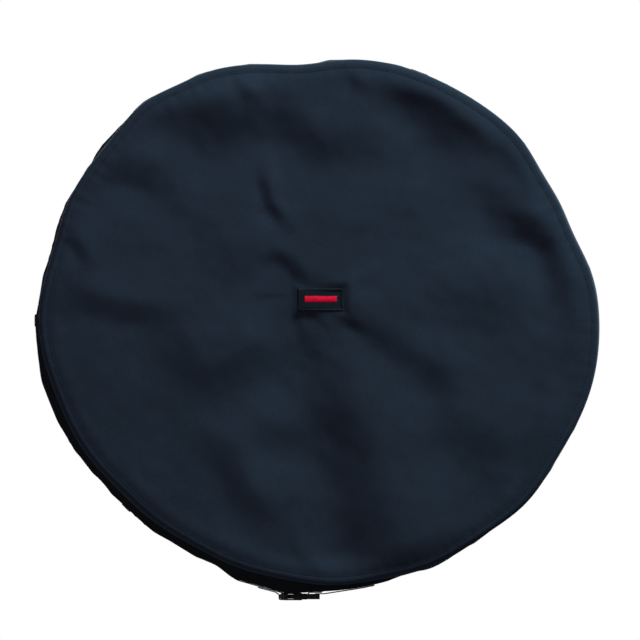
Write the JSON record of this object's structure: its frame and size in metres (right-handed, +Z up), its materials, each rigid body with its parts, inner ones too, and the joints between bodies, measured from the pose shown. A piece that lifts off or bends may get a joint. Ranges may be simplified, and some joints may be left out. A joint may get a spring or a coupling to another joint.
{
  "type": "spare tire cover",
  "caption": "Round fabric cover for a spare wheel, with an elastic back hem and a cinch strap closed by a side-release buckle.",
  "frame": {"origin": "middle of the space that holds the wheel, on the wheel's axis", "axes": "+Y along the wheel's axis out of the open back, +Z up, the buckle at the bottom (-Z)"},
  "size_m": [0.7054, 0.2018, 0.7152],
  "materials": {
    "navy_cloth": "matte",
    "navy_thread": "matte",
    "black_cloth": "matte",
    "black_thread": "matte",
    "binding": "matte",
    "elastic": "matte",
    "label_cloth": "matte",
    "label_red": "satin",
    "webbing": "matte",
    "buckle_plastic": "gloss"
  },
  "bodies": {
    "root": {"anchor_stitching": "black_thread", "band_join_stitching": "black_thread", "band_join_tape": "binding", "buckle_socket": "buckle_plastic", "cinch_strap": "webbing", "face_topstitch": "navy_thread", "front_panel": "navy_cloth", "front_seam_tape": "binding", "guide_bartacks": "black_thread", "hem_casing": "black_cloth", "hem_elastic": "elastic", "hem_stitching": "black_thread", "label_bar": "label_red", "label_patch": "label_cloth", "label_stitching": "black_thread", "rear_seam_stitching": "black_thread", "rear_seam_tape": "binding", "rear_skirt": "black_cloth", "side_band": "black_cloth", "strap_guide_1": "webbing", "strap_guide_2": "webbing", "strap_guide_3": "webbing", "strap_guide_4": "webbing", "strap_guide_5": "webbing", "strap_guide_6": "webbing", "strap_guide_7": "webbing"},
    "plug": {"buckle_plug": "buckle_plastic", "strap_tail": "webbing", "tail_stitching": "black_thread"},
    "prong_front": {"buckle_prong_front": "buckle_plastic"},
    "prong_rear": {"buckle_prong_rear": "buckle_plastic"}
  },
  "joints": [
    {"name": "plug_slide", "type": "slide", "parent": "root", "child": "plug", "axis": [1, 0, 0], "range_m": [0, 0.022], "deforming": ["buckle_prong_front", "buckle_prong_rear"]},
    {"name": "prong_front_press", "type": "hinge", "parent": "plug", "child": "prong_front", "pos_m": [-0.0126, 0.0464, -0.3577], "axis": [0, 0, -1], "range_deg": [0, 10], "stiffness_Nm_per_rad": 0.25},
    {"name": "prong_rear_press", "type": "hinge", "parent": "plug", "child": "prong_rear", "pos_m": [-0.0126, 0.0656, -0.3577], "axis": [0, 0, 1], "range_deg": [0, 10], "stiffness_Nm_per_rad": 0.25}
  ]
}
